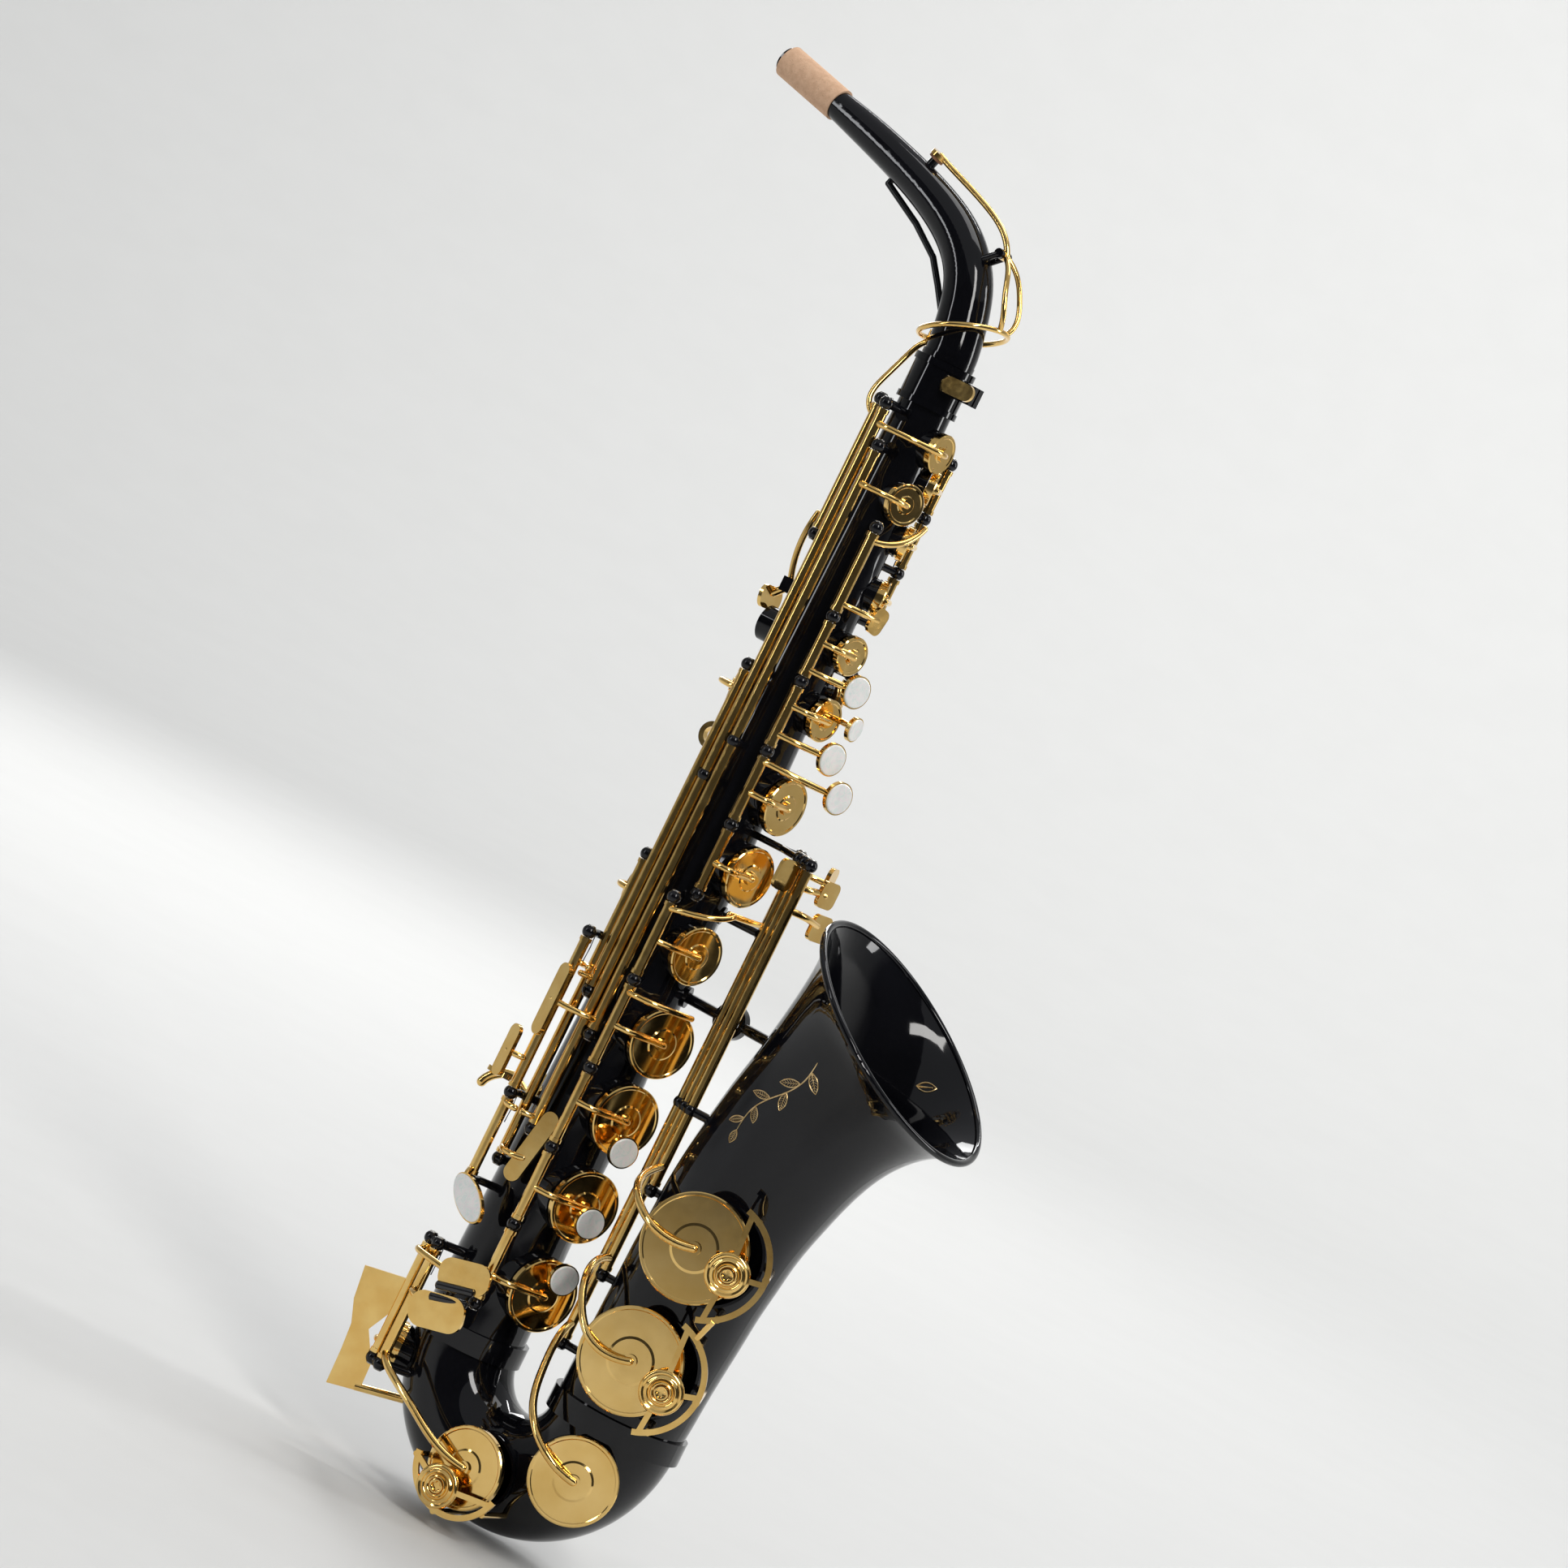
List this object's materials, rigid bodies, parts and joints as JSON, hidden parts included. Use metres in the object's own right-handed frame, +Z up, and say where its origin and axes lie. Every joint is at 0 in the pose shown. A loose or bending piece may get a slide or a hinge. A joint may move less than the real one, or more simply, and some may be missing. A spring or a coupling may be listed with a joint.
{
  "type": "alto saxophone",
  "caption": "Alto saxophone with conical body, bow and flared bell, curved swivelling neck with cork, sprung pad keys on steel rods, key guards, strap ring, thumb hook and rest",
  "frame": {"origin": "centre of the strap ring hole on the back of the body tube", "axes": "+Z up along the body tube toward the neck, +X forward to the bell side, -Y the player's right hand side"},
  "size_m": [0.3337, 0.1258, 0.679],
  "materials": {
    "black_lacquer": "gloss black lacquer over brass",
    "gold_lacquer": "polished, clear lacquered",
    "steel": "plain ground rod",
    "pearl": "mother of pearl",
    "cork": "sanded cork",
    "pad_leather": "smooth"
  },
  "bodies": {
    "body": {"bell": "black_lacquer", "bell_brace": "black_lacquer", "bell_key_guard": "gold_lacquer", "body_bow_ring": "black_lacquer", "body_tube": "black_lacquer", "bow": "black_lacquer", "bow_bell_ring": "black_lacquer", "clothes_guard": "gold_lacquer", "guard_bumpers": "gold_lacquer", "key_posts": "black_lacquer", "low_c_guard": "gold_lacquer", "neck_receiver": "black_lacquer", "octave_saddle": "black_lacquer", "pivot_rods": "steel", "strap_ring": "gold_lacquer", "thumb_hook": "gold_lacquer", "thumb_rest": "black_lacquer"},
    "b_key": {"b_key": "gold_lacquer", "b_pearl": "pearl"},
    "a_key": {"a_key": "gold_lacquer", "a_pearl": "pearl"},
    "g_key": {"g_key": "gold_lacquer", "g_pearl": "pearl"},
    "g_lower_key": {"g_lower_key": "gold_lacquer"},
    "front_f_key": {"front_f_key": "gold_lacquer"},
    "g_sharp_key": {"g_sharp_key": "gold_lacquer"},
    "f_sharp_key": {"f_sharp_key": "gold_lacquer"},
    "f_key": {"f_key": "gold_lacquer", "f_pearl": "pearl"},
    "e_key": {"e_key": "gold_lacquer", "e_pearl": "pearl"},
    "d_key": {"d_key": "gold_lacquer", "d_pearl": "pearl"},
    "side_e_key": {"side_e_key": "gold_lacquer"},
    "high_f_sharp_key": {"high_f_sharp_key": "gold_lacquer"},
    "side_c_key": {"side_c_key": "gold_lacquer"},
    "side_bb_key": {"side_bb_key": "gold_lacquer"},
    "high_f_sharp_lever": {"high_f_sharp_lever": "gold_lacquer", "high_f_sharp_pearl": "pearl"},
    "side_c_lever": {"side_c_lever": "gold_lacquer"},
    "low_eb_key": {"low_eb_key": "gold_lacquer"},
    "low_c_key": {"low_c_key": "gold_lacquer"},
    "palm_d_key": {"palm_d_key": "gold_lacquer"},
    "palm_eb_key": {"palm_eb_key": "gold_lacquer"},
    "palm_f_key": {"palm_f_key": "gold_lacquer"},
    "bis_key": {"bis_key": "gold_lacquer", "bis_pearl": "pearl"},
    "g_sharp_lever": {"g_sharp_lever": "gold_lacquer"},
    "low_c_sharp_key": {"low_c_sharp_key": "gold_lacquer"},
    "low_b_key": {"low_b_key": "gold_lacquer"},
    "low_bb_key": {"low_bb_key": "gold_lacquer"},
    "octave_rod": {"octave_rod": "gold_lacquer"},
    "neck": {"neck_cork": "cork", "neck_saddle": "black_lacquer", "neck_tube": "black_lacquer"},
    "neck_octave_key": {"neck_octave_key": "gold_lacquer", "neck_octave_pad": "pad_leather"},
    "neck_screw": {"neck_screw": "gold_lacquer"},
    "thumb_octave_key": {"thumb_octave_key": "gold_lacquer"}
  },
  "joints": [
    {"name": "b_key_turn", "type": "hinge", "parent": "body", "child": "b_key", "pos_m": [0.0405, -0.021, 0.0585], "axis": [0, 0, 1], "range_deg": [0, 9], "stiffness_Nm_per_rad": 0.2, "springref_deg": -5.73},
    {"name": "a_key_turn", "type": "hinge", "parent": "body", "child": "a_key", "pos_m": [0.0405, -0.021, 0.02425], "axis": [0, 0, 1], "range_deg": [0, 9], "stiffness_Nm_per_rad": 0.2, "springref_deg": -5.73},
    {"name": "g_key_turn", "type": "hinge", "parent": "body", "child": "g_key", "pos_m": [0.0405, -0.021, -0.01225], "axis": [0, 0, 1], "range_deg": [0, 9], "stiffness_Nm_per_rad": 0.2, "springref_deg": -5.73},
    {"name": "g_lower_key_turn", "type": "hinge", "parent": "body", "child": "g_lower_key", "pos_m": [0.0405, -0.021, -0.04875], "axis": [0, 0, 1], "range_deg": [0, 9], "stiffness_Nm_per_rad": 0.2, "springref_deg": -5.73},
    {"name": "front_f_key_turn", "type": "hinge", "parent": "body", "child": "front_f_key", "pos_m": [0.0405, -0.021, 0.0975], "axis": [0, 0, 1], "range_deg": [0, 6], "stiffness_Nm_per_rad": 0.2, "springref_deg": -5.73},
    {"name": "g_sharp_key_turn", "type": "hinge", "parent": "body", "child": "g_sharp_key", "pos_m": [0.0375, -0.034, -0.0925], "axis": [0, 0, 1], "range_deg": [-8, 0], "stiffness_Nm_per_rad": 0.2, "springref_deg": 5.73},
    {"name": "f_sharp_key_turn", "type": "hinge", "parent": "body", "child": "f_sharp_key", "pos_m": [0.0375, -0.034, -0.136], "axis": [0, 0, 1], "range_deg": [0, 8], "stiffness_Nm_per_rad": 0.2, "springref_deg": -5.73},
    {"name": "f_key_turn", "type": "hinge", "parent": "body", "child": "f_key", "pos_m": [0.0375, -0.034, -0.17875], "axis": [0, 0, 1], "range_deg": [0, 8], "stiffness_Nm_per_rad": 0.2, "springref_deg": -5.73},
    {"name": "e_key_turn", "type": "hinge", "parent": "body", "child": "e_key", "pos_m": [0.0375, -0.034, -0.21875], "axis": [0, 0, 1], "range_deg": [0, 8], "stiffness_Nm_per_rad": 0.2, "springref_deg": -5.73},
    {"name": "d_key_turn", "type": "hinge", "parent": "body", "child": "d_key", "pos_m": [0.0375, -0.034, -0.25875], "axis": [0, 0, 1], "range_deg": [0, 8], "stiffness_Nm_per_rad": 0.2, "springref_deg": -5.73},
    {"name": "side_e_key_turn", "type": "hinge", "parent": "body", "child": "side_e_key", "pos_m": [0.0258, -0.027, 0.004], "axis": [0, 0, 1], "range_deg": [-9, 0], "stiffness_Nm_per_rad": 0.2, "springref_deg": 5.73},
    {"name": "high_f_sharp_key_turn", "type": "hinge", "parent": "body", "child": "high_f_sharp_key", "pos_m": [0.0198, -0.0266, -0.01225], "axis": [0, 0, 1], "range_deg": [-9, 0], "stiffness_Nm_per_rad": 0.2, "springref_deg": 5.73},
    {"name": "side_c_key_turn", "type": "hinge", "parent": "body", "child": "side_c_key", "pos_m": [0.014, -0.0249, -0.0455], "axis": [0, 0, 1], "range_deg": [0, 9], "stiffness_Nm_per_rad": 0.2, "springref_deg": -5.73},
    {"name": "side_bb_key_turn", "type": "hinge", "parent": "body", "child": "side_bb_key", "pos_m": [0.0085, -0.0218, -0.13925], "axis": [0, 0, 1], "range_deg": [0, 5], "stiffness_Nm_per_rad": 0.2, "springref_deg": -5.73},
    {"name": "high_f_sharp_lever_turn", "type": "hinge", "parent": "body", "child": "high_f_sharp_lever", "pos_m": [0.0035, -0.03, -0.20925], "axis": [0, 0, 1], "range_deg": [0, 9]},
    {"name": "side_c_lever_turn", "type": "hinge", "parent": "body", "child": "side_c_lever", "pos_m": [0.0035, -0.03, -0.14575], "axis": [0, 0, 1], "range_deg": [-9, 0]},
    {"name": "low_eb_key_turn", "type": "hinge", "parent": "body", "child": "low_eb_key", "pos_m": [-0.0005, -0.03, -0.295], "axis": [0, 0, 1], "range_deg": [0, 7], "stiffness_Nm_per_rad": 0.2, "springref_deg": -5.73},
    {"name": "low_c_key_turn", "type": "hinge", "parent": "body", "child": "low_c_key", "pos_m": [0.0065, -0.034, -0.295], "axis": [0, 0, 1], "range_deg": [0, 6], "stiffness_Nm_per_rad": 0.2, "springref_deg": -5.73},
    {"name": "palm_d_key_turn", "type": "hinge", "parent": "body", "child": "palm_d_key", "pos_m": [0.036, 0.0252, 0.0915], "axis": [0, 0, 1], "range_deg": [0, 9], "stiffness_Nm_per_rad": 0.2, "springref_deg": -5.73},
    {"name": "palm_eb_key_turn", "type": "hinge", "parent": "body", "child": "palm_eb_key", "pos_m": [0.036, 0.0252, 0.119], "axis": [0, 0, 1], "range_deg": [0, 9], "stiffness_Nm_per_rad": 0.2, "springref_deg": -5.73},
    {"name": "palm_f_key_turn", "type": "hinge", "parent": "body", "child": "palm_f_key", "pos_m": [0.036, 0.0252, 0.147], "axis": [0, 0, 1], "range_deg": [0, 9], "stiffness_Nm_per_rad": 0.2, "springref_deg": -5.73},
    {"name": "bis_key_turn", "type": "hinge", "parent": "body", "child": "bis_key", "pos_m": [0.0405, 0.021, 0.0385], "axis": [0, 0, 1], "range_deg": [-8, 0], "stiffness_Nm_per_rad": 0.2, "springref_deg": 5.73},
    {"name": "g_sharp_lever_turn", "type": "hinge", "parent": "body", "child": "g_sharp_lever", "pos_m": [0.0625, 0.012, -0.05175], "axis": [0, 0, 1], "range_deg": [0, 8]},
    {"name": "low_c_sharp_key_turn", "type": "hinge", "parent": "body", "child": "low_c_sharp_key", "pos_m": [0.0705, -0.0026, -0.1555], "axis": [0, 0, 1], "range_deg": [-8, 0], "stiffness_Nm_per_rad": 0.2, "springref_deg": 5.73},
    {"name": "low_b_key_turn", "type": "hinge", "parent": "body", "child": "low_b_key", "pos_m": [0.0755, -0.006, -0.137], "axis": [0, 0, 1], "range_deg": [0, 8], "stiffness_Nm_per_rad": 0.2, "springref_deg": -5.73},
    {"name": "low_bb_key_turn", "type": "hinge", "parent": "body", "child": "low_bb_key", "pos_m": [0.0805, -0.0094, -0.11425], "axis": [0, 0, 1], "range_deg": [0, 8], "stiffness_Nm_per_rad": 0.2, "springref_deg": -5.73},
    {"name": "octave_rod_turn", "type": "hinge", "parent": "body", "child": "octave_rod", "pos_m": [0.0075, -0.0105, 0.1395], "axis": [0, 0, 1], "range_deg": [0, 8], "stiffness_Nm_per_rad": 0.2, "springref_deg": -5.73},
    {"name": "neck_swivel", "type": "hinge", "parent": "body", "child": "neck", "pos_m": [0.0245, 0, 0.192], "axis": [0, 0, 1], "range_deg": [-20, 20]},
    {"name": "neck_screw_turn", "type": "hinge", "parent": "body", "child": "neck_screw", "pos_m": [0.0425, 0, 0.193], "axis": [0, 1, 0], "range_deg": [0, 180]},
    {"name": "neck_octave_key_turn", "type": "hinge", "parent": "neck", "child": "neck_octave_key", "pos_m": [0.026, 0, 0.2575], "axis": [0, 1, 0], "range_deg": [0, 5]},
    {"name": "thumb_octave_key_turn", "type": "hinge", "parent": "body", "child": "thumb_octave_key", "pos_m": [0.002, 0, 0.078], "axis": [0, 1, 0], "range_deg": [-6, 0]}
  ],
  "couplings": [
    {"joint": "high_f_sharp_lever_turn", "follows": "high_f_sharp_key_turn", "ratio": -1},
    {"joint": "side_c_lever_turn", "follows": "side_c_key_turn", "ratio": -1},
    {"joint": "g_sharp_lever_turn", "follows": "g_sharp_key_turn", "ratio": -1},
    {"joint": "thumb_octave_key_turn", "follows": "octave_rod_turn", "ratio": -0.75},
    {"joint": "neck_octave_key_turn", "follows": "octave_rod_turn", "ratio": 0.625}
  ]
}
